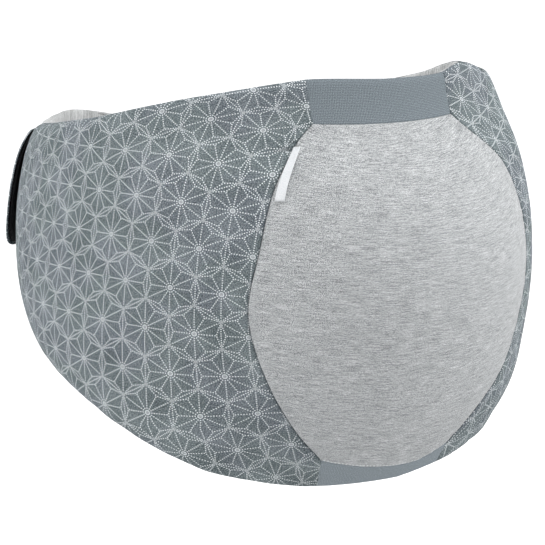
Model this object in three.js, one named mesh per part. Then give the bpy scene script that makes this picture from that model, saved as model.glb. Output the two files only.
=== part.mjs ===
// Maternity sleep belt: a padded loop of cloth, worn round the waist and under the belly.
// Millimetres. The wearer faces -Y, +X is the wearer's left and +Z is up.
// The origin is the middle of the space that the body fills.
// Angles are degrees round the body from the front: 0 front, 90 left side, 180 back, -90 right side.
import * as THREE from "three";

// Thicknesses of the layers
const PRINTED_CLOTH = 1.6;
const BELLY_JERSEY = 1.8;
const ELASTIC = 2.2;
const HOOK_TAPE = 2.2;
const LABEL_TAPE = 0.7;
const LINING_INSIDE_TORSO = 3;

// How square the cushion of filling is towards the hem and the rim: 2 is an ellipse, more is squarer.
// The rim keeps a share of the filling, the hem none.
const HEM_FULLNESS = 2.5;
const RIM_FULLNESS = 1.8;
const RIM_FILLING = 0.3;

// Clearances between neighbouring pieces
const LAYER_GAP = 0.3;
const SEAM_GAP = 0.6;

// The wearer's right and left side: the way each goes round the body, the angles where the front bands
// end on it, the foot of the top band there, and the angle of its own end at the back
const RIGHT = { sign: -1, topBand: 22.5, topBandFoot: 111.4, bottomBand: 26.5, end: 177 };
const LEFT = { sign: 1, topBand: 21.5, topBandFoot: 109.2, bottomBand: 14, end: 181 };

// Front bands: how far the edges that meet the belly panel dip at the middle
const TOP_BAND_DIP = 1.6;
const BOTTOM_BAND_HEAD = -96;
const BOTTOM_BAND_DIP = 10;
const BAND_PROUD = 0.3;

// Tab with the hook tape, on the left side's end
const TAB_END = 232;
const TAB_CORNER_RADIUS = 14;
const HOOK_TAPE_START = 194;
const HOOK_TAPE_MARGIN = 2.5;

// Blank label at the right seam, lying flat at its foot and standing up at its head
const LABEL_FOOT = 68.5;
const LABEL_RISE = 30;
const LABEL_WIDTH = 6;
const LABEL_CLEAR = 0.5;
const LABEL_LEAN = 2;
const LABEL_TILT = 40;

// Grid counts
const BAND_ROWS = 2;
const BELLY_ROWS = 12;
const BELLY_COLUMNS = 18;
const SIDE_STEP = 6;
const HOOK_ROWS = 6;
const LABEL_ROWS = 6;
const LABEL_COLUMNS = 2;

// A table of sections with named columns, read between its rows by a smooth curve.
// The first column is the key.
class SectionTable {
  constructor(columns, rows) {
    this.columns = columns;
    this.rows = rows;
  }

  slope(column, i) {
    const before = this.rows[Math.max(i - 1, 0)];
    const after = this.rows[Math.min(i + 1, this.rows.length - 1)];
    return (after[column] - before[column]) / (after[0] - before[0]);
  }

  at(name, key) {
    const column = this.columns.indexOf(name);
    const last = this.rows.length - 1;
    const x = THREE.MathUtils.clamp(key, this.rows[0][0], this.rows[last][0]);
    let i = 0;
    while (i < last - 1 && x > this.rows[i + 1][0]) i += 1;
    const step = this.rows[i + 1][0] - this.rows[i][0];
    const u = (x - this.rows[i][0]) / step;
    const [p, q] = [this.rows[i][column], this.rows[i + 1][column]];
    const [m, n] = [this.slope(column, i) * step, this.slope(column, i + 1) * step];
    return p + u * (m + u * (3 * (q - p) - 2 * m - n + u * (2 * (p - q) + m + n)));
  }
}

// Body that the belt lies on: half width, and reach to the front and to the back, by height
const TORSO = new SectionTable(
  ["height", "halfWidth", "front", "back"],
  [
    [-135, 107, 99, 104],
    [-110, 130, 117.5, 124],
    [-75, 147, 137, 142],
    [-40, 151, 149, 156],
    [0, 154, 156, 160],
    [40, 154, 152, 160],
    [75, 152, 136, 157],
    [105, 149, 109, 152],
    [135, 145, 101, 146],
    [165, 141, 98, 142],
  ],
);

// Lower and upper edge of the right side, and the filling under its outer cloth
RIGHT.edges = new SectionTable(
  ["angle", "bottom", "top", "filling"],
  [
    [0, -115.5, 135.6, 0],
    [20, -115.5, 138.2, 0],
    [30, -115, 136.6, 0],
    [45, -111, 132, 0.5],
    [60, -102.5, 126.4, 9],
    [90, -70, 112.5, 16],
    [120, -42.5, 100.2, 18],
    [150, 0, 98.8, 9],
    [180, 16, 85, 2],
  ],
);

// The same for the left side, whose end passes over the right one as a tab lifted off it.
// The flare lifts the tab further at its lower edge and less at its upper one.
LEFT.edges = new SectionTable(
  ["angle", "bottom", "top", "filling", "lift", "flare"],
  [
    [0, -115.5, 135.6, 0, 0, 0],
    [20, -109.5, 135.2, 0, 0, 0],
    [32, -104.5, 139.5, 0, 0, 0],
    [45, -102, 134.5, 0.5, 0, 0],
    [60, -99.5, 127.5, 9, 0, 0],
    [75, -87, 126.5, 13, 0, 0],
    [90, -73, 126, 16, 0, 0],
    [105, -59, 116, 17, 0, 0],
    [120, -42.5, 107, 18, 0, 0],
    [150, 0, 98.8, 9, 0.5, 0],
    [180, 16, 85, 2, 4.4, 0],
    [206, 18, 89, 2, 5.4, 0.6],
    [232, 18, 91, 2, 6.9, 1.9],
  ],
);

// Seams between the belly panel and the two sides, by height
RIGHT.seam = new SectionTable(
  ["height", "angle"],
  [
    [BOTTOM_BAND_HEAD, RIGHT.bottomBand],
    [-75, 34],
    [-40, 42.7],
    [0, 47.2],
    [40, 44],
    [75, 38.2],
    [98, 29.2],
    [RIGHT.topBandFoot, RIGHT.topBand],
  ],
);
LEFT.seam = new SectionTable(
  ["height", "angle"],
  [
    [BOTTOM_BAND_HEAD, LEFT.bottomBand],
    [-75, 21.8],
    [-40, 37.2],
    [0, 47],
    [40, 46],
    [75, 38.5],
    [98, 27.4],
    [LEFT.topBandFoot, LEFT.topBand],
  ],
);

const lerp = THREE.MathUtils.lerp;

// Point on the body, and the direction straight out of it
function torsoPoint(angle, height) {
  const turn = THREE.MathUtils.degToRad(angle);
  const reach = Math.cos(turn) > 0 ? "front" : "back";
  return new THREE.Vector3(
    TORSO.at("halfWidth", height) * Math.sin(turn),
    -TORSO.at(reach, height) * Math.cos(turn),
    height,
  );
}

function torsoNormal(angle, height) {
  const around = torsoPoint(angle + 1, height).sub(torsoPoint(angle - 1, height));
  const up = torsoPoint(angle, height + 1).sub(torsoPoint(angle, height - 1));
  return around.cross(up).normalize();
}

// Filling under the outer cloth: a rounded cushion between the lower and upper edge
function filling(angle, height) {
  const wrapped = Math.abs(angle) > 180 ? 360 - Math.abs(angle) : Math.abs(angle);
  const edges = angle > 0 && angle <= 180 ? LEFT.edges : RIGHT.edges;
  const bottom = edges.at("bottom", wrapped);
  const top = edges.at("top", wrapped);
  const across = THREE.MathUtils.clamp((2 * (height - bottom)) / (top - bottom) - 1, -1, 1);
  const crown = Math.sqrt(1 - Math.abs(across) ** (across > 0 ? RIM_FULLNESS : HEM_FULLNESS));
  return edges.at("filling", wrapped) * lerp(across > 0 ? RIM_FILLING : 0, 1, crown);
}

// Distance that the left side's end stands off the right side under it
function lift(angle, height) {
  if (angle <= 0) return 0;
  const bottom = LEFT.edges.at("bottom", angle);
  const share = (height - bottom) / (LEFT.edges.at("top", angle) - bottom);
  return LEFT.edges.at("lift", angle) + LEFT.edges.at("flare", angle) * (1 - 2 * share);
}

// Point at a distance outside the cloth line of the belt
function beltPoint(angle, height, out) {
  const distance = filling(angle, height) + lift(angle, height) + out;
  return torsoPoint(angle, height).addScaledVector(torsoNormal(angle, height), distance);
}

// Degrees round the body that a length takes up at an angle and height
function degreesFor(length, angle, height) {
  const reach = torsoPoint(angle + 1, height).distanceTo(torsoPoint(angle, height));
  return length / reach;
}

// A closed solid of cloth between two faces over one grid: columns rise with the angle, rows with height
function clothSolid(columns, rows, outerFace, innerFace) {
  const positions = [];
  for (const face of [outerFace, innerFace]) {
    for (let j = 0; j <= rows; j += 1) {
      for (let i = 0; i <= columns; i += 1) {
        positions.push(...face(i, j).toArray());
      }
    }
  }
  const layer = (columns + 1) * (rows + 1);
  const outer = (i, j) => j * (columns + 1) + i;
  const inner = (i, j) => layer + outer(i, j);
  const triangles = [];
  const quad = (a, b, c, d) => triangles.push(a, b, c, a, c, d);
  for (let j = 0; j < rows; j += 1) {
    for (let i = 0; i < columns; i += 1) {
      quad(outer(i, j), outer(i + 1, j), outer(i + 1, j + 1), outer(i, j + 1));
      quad(inner(i, j), inner(i, j + 1), inner(i + 1, j + 1), inner(i + 1, j));
    }
    quad(inner(0, j), outer(0, j), outer(0, j + 1), inner(0, j + 1));
    quad(outer(columns, j), inner(columns, j), inner(columns, j + 1), outer(columns, j + 1));
  }
  for (let i = 0; i < columns; i += 1) {
    quad(inner(i, 0), inner(i + 1, 0), outer(i + 1, 0), outer(i, 0));
    quad(outer(i, rows), outer(i + 1, rows), inner(i + 1, rows), inner(i, rows));
  }
  const geometry = new THREE.BufferGeometry();
  geometry.setAttribute("position", new THREE.Float32BufferAttribute(positions, 3));
  geometry.setIndex(triangles);
  geometry.computeVertexNormals();
  return geometry;
}

// Heights and angles of the front edge of a side, row by row: bottom band, belly panel, top band
const SIDE_ROWS = BAND_ROWS + BELLY_ROWS + BAND_ROWS;

function frontEdge(row, side) {
  if (row < BAND_ROWS) {
    const foot = side.edges.at("bottom", side.bottomBand);
    return { angle: side.bottomBand, height: lerp(foot, BOTTOM_BAND_HEAD, row / BAND_ROWS) };
  }
  if (row > BAND_ROWS + BELLY_ROWS) {
    const share = (row - BAND_ROWS - BELLY_ROWS) / BAND_ROWS;
    const head = side.edges.at("top", side.topBand);
    return { angle: side.topBand, height: lerp(side.topBandFoot, head, share) };
  }
  const height = lerp(BOTTOM_BAND_HEAD, side.topBandFoot, (row - BAND_ROWS) / BELLY_ROWS);
  return { angle: side.seam.at("angle", height), height };
}

// Share of a side's height at which a row runs, taken at its front edge
function rowShare(row, side) {
  const { angle, height } = frontEdge(row, side);
  const bottom = side.edges.at("bottom", angle);
  return (height - bottom) / (side.edges.at("top", angle) - bottom);
}

// A layer of one side from the seam to its end, between two distances from the cloth line.
// The outer cloth of the left side goes on past that end as the tab.
function sideLayer(side, outerOut, innerOut, tab) {
  const { sign, end, edges } = side;
  const sideColumns = Math.round((end - side.bottomBand) / SIDE_STEP);
  const tabColumns = tab ? Math.round((TAB_END - end) / SIDE_STEP) : 0;
  const columns = sideColumns + tabColumns;
  const face = (out) => (column, row) => {
    const share = rowShare(row, side);
    const start = frontEdge(row, side);
    const near = start.angle + degreesFor(SEAM_GAP / 2, start.angle, start.height);
    const k = sign > 0 ? column : columns - column;
    const angle =
      k <= sideColumns
        ? lerp(near, end, k / sideColumns)
        : lerp(end, tabEnd(share), (k - sideColumns) / tabColumns);
    const height = lerp(edges.at("bottom", angle), edges.at("top", angle), share);
    return beltPoint(sign * angle, height, out(sign * angle, height));
  };
  return clothSolid(columns, SIDE_ROWS, face(outerOut), face(innerOut));
}

// End of the left side: a tab whose corners are rounded
function tabEnd(share) {
  const height = LEFT.edges.at("top", TAB_END) - LEFT.edges.at("bottom", TAB_END);
  const toCorner = Math.min(share, 1 - share) * height;
  const inside = Math.max(TAB_CORNER_RADIUS - toCorner, 0);
  const cut = TAB_CORNER_RADIUS - Math.sqrt(TAB_CORNER_RADIUS ** 2 - inside ** 2);
  return TAB_END - degreesFor(cut, TAB_END, 0);
}

// Lining and filling: from under the outer cloth to a face inside the body line
const underCloth = () => -PRINTED_CLOTH - LAYER_GAP;

function liningFace(angle, height) {
  return -filling(angle, height) - lift(angle, height) - LINING_INSIDE_TORSO;
}

// Front pieces: the belly panel and the two elastic bands.
// Their foot and head are heights across the front, from -1 at the right seam to 1 at the left one.
const sideOf = (across) => (across < 0 ? RIGHT : LEFT);

function frontPiece(rows, foot, head, edgeAngle, outerOut, thickness) {
  const face = (out) => (column, row) => {
    const across = (2 * column) / BELLY_COLUMNS - 1;
    const share = row / rows;
    const side = sideOf(across);
    const seamHeight = lerp(foot(side.sign), head(side.sign), share);
    const seamAngle = edgeAngle(side, seamHeight);
    const half = seamAngle - degreesFor(SEAM_GAP / 2, seamAngle, seamHeight);
    return beltPoint(half * across, lerp(foot(across), head(across), share), out);
  };
  return clothSolid(BELLY_COLUMNS, rows, face(outerOut), face(outerOut - thickness));
}

const hem = (across) => {
  const side = sideOf(across);
  return side.edges.at("bottom", Math.abs(across) * side.bottomBand);
};
const rim = (across) => {
  const side = sideOf(across);
  return side.edges.at("top", Math.abs(across) * side.topBand);
};
const bottomSeam = (across) => BOTTOM_BAND_HEAD - BOTTOM_BAND_DIP * (1 - across ** 2);
const topSeam = (across) => {
  const straight = lerp(RIGHT.topBandFoot, LEFT.topBandFoot, (across + 1) / 2);
  return straight - TOP_BAND_DIP * (1 - across ** 2);
};
const raised = (edge) => (across) => edge(across) + SEAM_GAP / 2;
const lowered = (edge) => (across) => edge(across) - SEAM_GAP / 2;

const bellyPanel = frontPiece(
  BELLY_ROWS,
  raised(bottomSeam),
  lowered(topSeam),
  (side, height) => side.seam.at("angle", height),
  0,
  BELLY_JERSEY,
);
const topBand = frontPiece(
  BAND_ROWS,
  raised(topSeam),
  rim,
  (side) => side.topBand,
  BAND_PROUD,
  ELASTIC,
);
const bottomBand = frontPiece(
  BAND_ROWS,
  hem,
  lowered(bottomSeam),
  (side) => side.bottomBand,
  BAND_PROUD,
  ELASTIC,
);

// The two padded sides
const clothOutside = () => 0;
const clothInside = () => -PRINTED_CLOTH;
const sidePanelRight = sideLayer(RIGHT, clothOutside, clothInside, false);
const sidePanelLeft = sideLayer(LEFT, clothOutside, clothInside, true);
const liningRight = sideLayer(RIGHT, underCloth, liningFace, false);
const liningLeft = sideLayer(LEFT, underCloth, liningFace, false);

// Hook tape under the tab
function hookTape() {
  const columns = Math.round((TAB_END - HOOK_TAPE_START) / SIDE_STEP);
  const face = (out) => (column, row) => {
    const share = row / HOOK_ROWS;
    const tip = tabEnd(share) - degreesFor(HOOK_TAPE_MARGIN, TAB_END, 0);
    const angle = lerp(HOOK_TAPE_START, tip, column / columns);
    const foot = LEFT.edges.at("bottom", angle) + HOOK_TAPE_MARGIN;
    const head = LEFT.edges.at("top", angle) - HOOK_TAPE_MARGIN;
    return beltPoint(angle, lerp(foot, head, share), out);
  };
  return clothSolid(columns, HOOK_ROWS, face(underCloth()), face(underCloth() - HOOK_TAPE));
}

// Blank label lying along the right seam, over the edge of the belly panel
function seamLabel() {
  const face = (out) => (column, row) => {
    const share = row / LABEL_ROWS;
    const height = LABEL_FOOT + LABEL_RISE * share;
    const seam = -RIGHT.seam.at("angle", height);
    const tilt = THREE.MathUtils.degToRad(LABEL_TILT * share);
    const across = (LABEL_WIDTH * column) / LABEL_COLUMNS;
    const aside = SEAM_GAP + LABEL_LEAN * (1 - share) + across * Math.cos(tilt);
    const angle = seam + degreesFor(aside, seam, height);
    return beltPoint(angle, height, out + across * Math.sin(tilt));
  };
  return clothSolid(LABEL_COLUMNS, LABEL_ROWS, face(LABEL_CLEAR + LABEL_TAPE), face(LABEL_CLEAR));
}

// Colours and finishes
const FINISHES = {
  heather: { color: 0xb4b8b9, roughness: 0.9, metalness: 0 },
  elastic: { color: 0x848c92, roughness: 0.8, metalness: 0 },
  print: { color: 0x6c757a, roughness: 0.85, metalness: 0 },
  lining: { color: 0xc6c8c8, roughness: 0.95, metalness: 0 },
  hooks: { color: 0x121418, roughness: 0.7, metalness: 0 },
  label: { color: 0xe8eaec, roughness: 0.6, metalness: 0 },
};

const belt = new THREE.Group();
const addPiece = (name, geometry, finish) => {
  const piece = new THREE.Mesh(geometry, new THREE.MeshStandardMaterial(FINISHES[finish]));
  piece.name = name;
  belt.add(piece);
};
addPiece("belly_panel", bellyPanel, "heather");
addPiece("top_band", topBand, "elastic");
addPiece("bottom_band", bottomBand, "elastic");
addPiece("side_panel_right", sidePanelRight, "print");
addPiece("side_panel_left", sidePanelLeft, "print");
addPiece("lining_right", liningRight, "lining");
addPiece("lining_left", liningLeft, "lining");
addPiece("hook_tab", hookTape(), "hooks");
addPiece("seam_label", seamLabel(), "label");

export default belt;
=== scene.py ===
import math
from types import SimpleNamespace

import bpy
import numpy as np
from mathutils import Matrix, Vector

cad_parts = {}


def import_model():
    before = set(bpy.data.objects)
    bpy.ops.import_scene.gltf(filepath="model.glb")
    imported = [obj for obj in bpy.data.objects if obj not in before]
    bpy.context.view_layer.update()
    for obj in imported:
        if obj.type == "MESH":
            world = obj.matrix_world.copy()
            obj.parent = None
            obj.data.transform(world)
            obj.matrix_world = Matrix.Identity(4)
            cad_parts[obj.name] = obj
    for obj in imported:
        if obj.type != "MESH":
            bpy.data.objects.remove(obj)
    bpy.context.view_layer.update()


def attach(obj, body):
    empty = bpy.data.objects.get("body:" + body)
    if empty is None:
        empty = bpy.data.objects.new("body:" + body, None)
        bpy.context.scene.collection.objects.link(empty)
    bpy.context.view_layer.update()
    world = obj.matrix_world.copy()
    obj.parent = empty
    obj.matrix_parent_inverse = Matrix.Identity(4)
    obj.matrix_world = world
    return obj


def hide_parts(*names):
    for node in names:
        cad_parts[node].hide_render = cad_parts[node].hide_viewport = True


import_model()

# Form of the belt, in millimetres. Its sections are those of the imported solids, some moved by up to 3 mm.
# Angles are degrees round the body from the front: 0 front, 90 left side, 180 back, -90 right side.
MM = 0.001
SIDE_LINE = 90

# Cloths, filling and edges. A ply is the thickness of a cloth's mesh, less than the room that it takes.
PRINTED_CLOTH = 1.6
PRINTED_PLY = 1.1
FRONT_PLY = 0.3
EDGE_PLY = 0.4
EDGE_WIDTH = 0.5
LAYER_GAP = 0.3
SEAM_GAP = 0.1
SEAM_RADIUS = 2.5
SEAM_SINK = 0.6
END_RADIUS = 2.0
END_SINK = 0.5
TURN_UNDER = 1.9
TURN_RADIUS = 4.5
HEM_FULLNESS = 2.5
RIM_FULLNESS = 1.8
RIM_FILLING = 0.3
LINING_INSIDE_TORSO = 3
LINING_PLY = 0.6
LINING_EDGE_PLY = 0.5
LINING_ROLL = 9.0
LINING_PUFF = 1.8

# Places on the rims: where the right one lies low, and where the left one stands up, dips and leans in
RIM_LOW = SimpleNamespace(depth=8, start=118, full=132)
RIM_PUFF = SimpleNamespace(rise=2.0, angle=92, reach=7)
RIM_DIP = SimpleNamespace(rise=-2.5, angle=61, reach=9)
RIM_LEAN = SimpleNamespace(depth=3.0, angle=58, reach=13, drop=22, power=1.5)
ROLL_STARTS_RIGHT = (95, 125)
PUFF_STARTS_LEFT = (120, 150)

# Puckers: how far they reach from a seam or an edge, and their length along it
FRONT_SIDE_PUCKER = SimpleNamespace(reach=7, length=9, seed=3)
FRONT_END_PUCKER = SimpleNamespace(reach=6, length=8, seed=4)
SEAM_PUCKER = SimpleNamespace(depth=0.22, reach=8, length=11, seed=11)
RIM_PUCKER = SimpleNamespace(depth=0.3, reach=7, length=16, seed=12)

# Front cloths, and the length of cloth to a degree and to a millimetre of height
JERSEY = SimpleNamespace(thickness=1.8, proud=0.0, side_sink=0.4, end_sink=0.6, pucker=0.16)
ELASTIC = SimpleNamespace(thickness=2.2, proud=-0.1, side_sink=0.0, end_sink=0.4, pucker=0.06)
TOP_BAND_DIP = 1.6
BOTTOM_BAND_HEAD = -96
BOTTOM_BAND_DIP = 10
FRONT_PER_DEGREE = 2.4
FRONT_SLOPE = 1.12
SIDE_SLOPE = 1.05

# Tab and hook tape
TAB_END = 232
TAB_CORNER_RADIUS = 14
TAB_CORNER_BEND = 1.9
TAB_BEND_START = 206
TAB_BEND_SHARE = 0.65
TAB_PER_DEGREE = 2.7
HOOK_TAPE = 1.4
HOOK_TAPE_START = 194
HOOK_TAPE_MARGIN = 1.5

# Label, and the folds beside its head
LABEL_FOOT = 68.5
LABEL_RISE = 30
LABEL_WIDTH = 6
LABEL_LEAN = 2
LABEL_TILT = 58
LABEL_DROP = 3
LABEL_TAPER = 0.4
LABEL_CLEAR = 0.4
LABEL_TAPE = 0.25
LABEL_FOLD_RADIUS = 0.35
LABEL_FOLDS = SimpleNamespace(depth=2.4, height=LABEL_FOOT + LABEL_RISE + 1, pitch=2.4, reach=9)

# Shade in creases: along the belly seam and in the hollows of the label's folds
SEAM_SHADE = 0.5
SEAM_SHADE_REACH = 1.2
FOLD_SHADE = 0.9
MOST_SHADE = 0.7

# The two sides: way round the body, ends of the front bands, lean and foot of the top one, end at the back
RIGHT = SimpleNamespace(
    sign=-1, top_band=22.5, top_band_lean=1.0, top_band_foot=111.4, bottom_band=26.5, end=177
)
LEFT = SimpleNamespace(
    sign=1, top_band=21.5, top_band_lean=0.0, top_band_foot=109.2, bottom_band=14, end=181
)


class SectionTable:
    """Sections with named columns, read between rows by a smooth curve. The first column is the key."""

    def __init__(self, columns, rows):
        self.columns = columns
        self.rows = np.array(rows, float)

    def at(self, name, key):
        x = self.rows[:, 0]
        y = self.rows[:, self.columns.index(name)]
        before = np.maximum(np.arange(len(x)) - 1, 0)
        after = np.minimum(np.arange(len(x)) + 1, len(x) - 1)
        slope = (y[after] - y[before]) / (x[after] - x[before])
        key = np.clip(np.asarray(key, float), x[0], x[-1])
        i = np.clip(np.searchsorted(x, key) - 1, 0, len(x) - 2)
        step = x[i + 1] - x[i]
        u = (key - x[i]) / step
        p, q, m, n = y[i], y[i + 1], slope[i] * step, slope[i + 1] * step
        return p + u * (m + u * (3 * (q - p) - 2 * m - n + u * (2 * (p - q) + m + n)))


TORSO = SectionTable(
    ["height", "half_width", "front", "back"],
    [
        [-135, 107, 99, 104],
        [-110, 130, 117.5, 124],
        [-75, 147, 137, 142],
        [-40, 151, 149, 156],
        [0, 154, 156, 160],
        [40, 154, 152, 160],
        [75, 152, 136, 157],
        [105, 149, 109, 152],
        [135, 145, 101, 146],
        [165, 141, 98, 142],
    ],
)
RIGHT.edges = SectionTable(
    ["angle", "bottom", "top", "filling"],
    [
        [0, -116.7, 135.6, 0],
        [20, -116.7, 138.2, 0],
        [30, -115.7, 136.6, 0],
        [45, -111, 132, 0.5],
        [60, -102.5, 126.4, 9],
        [90, -70, 112.5, 16],
        [120, -42.5, 100.2, 18],
        [150, 0, 98.8, 9],
        [180, 16, 85, 2],
    ],
)
LEFT.edges = SectionTable(
    ["angle", "bottom", "top", "filling", "lift", "flare"],
    [
        [0, -116.7, 135.6, 0, 0, 0],
        [20, -109.8, 135.2, 0, 0, 0],
        [32, -104.5, 139.5, 0, 0, 0],
        [45, -103, 134.5, 0.5, 0, 0],
        [60, -100.3, 127.5, 9, 0, 0],
        [75, -87, 126.5, 13, 0, 0],
        [90, -73, 126, 16, 0, 0],
        [105, -59, 116, 17, 0, 0],
        [120, -42.5, 107, 18, 0, 0],
        [150, 0, 98.8, 9, 0.5, 0],
        [180, 16, 85, 2, 4.4, 0],
        [206, 16.5, 89, 2, 5.6, 0.6],
        [232, 15.5, 91, 2, 7.5, 1.9],
    ],
)
RIGHT.seam = SectionTable(
    ["height", "angle"],
    [
        [BOTTOM_BAND_HEAD, RIGHT.bottom_band],
        [-75, 34],
        [-40, 42.7],
        [0, 47.2],
        [40, 44],
        [75, 38.2],
        [98, 29.2],
        [RIGHT.top_band_foot, RIGHT.top_band],
    ],
)
LEFT.seam = SectionTable(
    ["height", "angle"],
    [
        [BOTTOM_BAND_HEAD, LEFT.bottom_band],
        [-75, 21.8],
        [-40, 37.2],
        [0, 47],
        [40, 46],
        [75, 38.5],
        [98, 27.4],
        [LEFT.top_band_foot, LEFT.top_band],
    ],
)

# The print on the right: heights and arcs of its rows on three star columns (side line, half way, seam)
PRINT_COLUMNS = np.array([3.0, 9.0, 12.0])
PRINT_LAST_COLUMN = 15
PRINT_STEPS = 61
PRINT_ROUNDS = 4
PRINT = SectionTable(
    ["row", "high_side", "high_middle", "high_seam", "arc_side", "arc_middle", "arc_seam"],
    [
        [-1, 167, 160, 142, -3, 92, 147],
        [0, 143, 137, 122, -3, 89, 142],
        [1, 119.5, 115.5, 104, -3, 84.5, 137],
        [2, 95.5, 91, 83.5, -2.5, 81.5, 131.5],
        [4, 46.5, 42, 36, -4, 79.5, 127.5],
        [6, -5, -9, -13, -16.5, 76, 124.5],
        [8, -60, -62.5, -61.5, -32, 70, 122.5],
        [10, -117, -113, -106.5, -48, 60, 110.5],
        [11, -145, -140, -129, -56, 53, 101],
    ],
)

# The print at the back, where it runs straight, and on the left, where it slants and widens to the front
BACK_COLUMN_PITCH = 16
BACK_STRAIGHTENS = (60, 170)
LEFT_COLUMN_PITCH = 19
LEFT_ROW_PITCH = 25
LEFT_SLANT = 0.27
LEFT_SLANT_RUN = 100
LEFT_SLANT_HEIGHT = 60
LEFT_FIRST_COLUMN = -0.29
LEFT_FIRST_ROW = -0.23

# Curves and waves
SHORTEST_WAVE = 0.7
LONGEST_WAVE = 1.5
RIPPLE_WAVES = 9
RIPPLE_PEAK = 1.6


def lerp(a, b, share):
    return a + (b - a) * share


def smooth_step(value, low, high):
    t = np.clip((value - low) / (high - low), 0, 1)
    return t * t * (3 - 2 * t)


def bell(value, middle, reach):
    return np.exp(-(((value - middle) / reach) ** 2))


def eased(count, ends):
    """Shares from 0 to 1, closer together at both ends."""
    t = np.linspace(0, 1, count + 1)
    return t - ends * np.sin(2 * np.pi * t) / (2 * np.pi)


def edge_drop(distance, radius):
    """How far a rounded edge has fallen, from 1 on the edge to 0 at the radius."""
    inside = 1 - np.clip(distance / radius, 0, 1)
    return 1 - np.sqrt(1 - inside**2)


def ripple(along, length, seed):
    """Irregular waves along a line, from about -1 to 1, as of waves that cross it at all angles."""
    rng = np.random.default_rng(seed)
    total = np.zeros(along.shape)
    for _ in range(RIPPLE_WAVES):
        turn = rng.uniform(0, 2 * np.pi)
        size = length * rng.uniform(SHORTEST_WAVE, LONGEST_WAVE)
        phase = rng.uniform(0, 2 * np.pi)
        total = total + np.sin(2 * np.pi * along * np.cos(turn) / size + phase)
    return total / (RIPPLE_WAVES**0.5 * RIPPLE_PEAK)


def puckers(kind, distance, along):
    return np.exp(-distance / kind.reach) * ripple(along, kind.length, kind.seed)


# Belt surface


def torso(angle, height):
    turn = np.radians(angle)
    reach = np.where(np.cos(turn) > 0, TORSO.at("front", height), TORSO.at("back", height))
    return np.stack(
        [TORSO.at("half_width", height) * np.sin(turn), -reach * np.cos(turn), height + 0 * turn], -1
    )


def outward(angle, height):
    around = torso(angle + 1, height) - torso(angle - 1, height)
    up = torso(angle, height + 1) - torso(angle, height - 1)
    n = np.cross(around, up)
    return n / np.linalg.norm(n, axis=-1, keepdims=True)


def filling(angle, height):
    wrapped = np.where(np.abs(angle) > 180, 360 - np.abs(angle), np.abs(angle))
    left = (angle > 0) & (angle <= 180)
    bottom, top, depth = (
        np.where(left, LEFT.edges.at(name, wrapped), RIGHT.edges.at(name, wrapped))
        for name in ("bottom", "top", "filling")
    )
    across = np.clip(2 * (height - bottom) / (top - bottom) - 1, -1, 1)
    crown = np.sqrt(1 - np.abs(across) ** np.where(across > 0, RIM_FULLNESS, HEM_FULLNESS))
    return depth * lerp(np.where(across > 0, RIM_FILLING, 0), 1, crown)


def lift(angle, height):
    """How far the left side stands off where its tab lies over the right side."""
    bottom = LEFT.edges.at("bottom", angle)
    share = (height - bottom) / (LEFT.edges.at("top", angle) - bottom)
    raised = LEFT.edges.at("lift", angle) + LEFT.edges.at("flare", angle) * (1 - 2 * share)
    corner = np.clip((share - TAB_BEND_SHARE) / (1 - TAB_BEND_SHARE), 0, 1) ** 2
    bent = TAB_CORNER_BEND * corner * smooth_step(angle, TAB_BEND_START, TAB_END)
    return np.where(angle > 0, raised - bent, 0.0)


def belt(angle, height, out):
    """Points at a distance outside the belt's cloth line."""
    distance = filling(angle, height) + lift(angle, height) + out
    return torso(angle, height) + outward(angle, height) * distance[..., None]


def degrees_for(length, angle, height):
    reach = np.linalg.norm(torso(angle + 1, height) - torso(angle, height), axis=-1)
    return length / reach


def top_band_angle(side, height):
    """Angle of the top band's end on one side, which leans towards the rim."""
    share = (height - side.top_band_foot) / (side.edges.at("top", side.top_band) - side.top_band_foot)
    return side.top_band + side.top_band_lean * share


def seam_angle(side, height):
    return side.seam.at("angle", height)


def bottom_band_angle(side, height):
    return side.bottom_band + 0 * height


def front_angle(side, height):
    """Angle of a side's front edge: the band ends and the seam along the belly panel."""
    seam = np.where(height < BOTTOM_BAND_HEAD, side.bottom_band, seam_angle(side, height))
    return np.where(height > side.top_band_foot, top_band_angle(side, height), seam)


# Arc lengths round the belt from the side line, by angle and height
ARC_ANGLES = np.arange(0.0, 241.0)
ARC_HEIGHT_STEP = 5.0
ARC_HEIGHTS = np.arange(-130.0, 151.0, ARC_HEIGHT_STEP)
INSIDE_LAST_CELL = 0.001


def arc_table():
    angle, height = np.meshgrid(ARC_ANGLES, ARC_HEIGHTS, indexing="ij")
    points = torso(-angle, height) + outward(-angle, height) * filling(-angle, height)[..., None]
    steps = np.linalg.norm(np.diff(points, axis=0), axis=-1)
    length = np.vstack([np.zeros((1, len(ARC_HEIGHTS))), np.cumsum(steps, axis=0)])
    return length[SIDE_LINE] - length


ARCS = arc_table()


def arc_length(angle, height):
    """Arc from the side line to an angle on the same side, growing towards the front."""
    i = np.clip(np.abs(angle), 0, len(ARC_ANGLES) - 1 - INSIDE_LAST_CELL)
    j = np.clip((height - ARC_HEIGHTS[0]) / ARC_HEIGHT_STEP, 0, len(ARC_HEIGHTS) - 1 - INSIDE_LAST_CELL)
    a, b = i.astype(int), j.astype(int)
    u, v = i - a, j - b
    low = lerp(ARCS[a, b], ARCS[a + 1, b], u)
    high = lerp(ARCS[a, b + 1], ARCS[a + 1, b + 1], u)
    return lerp(low, high, v)


# Place of the print


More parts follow.
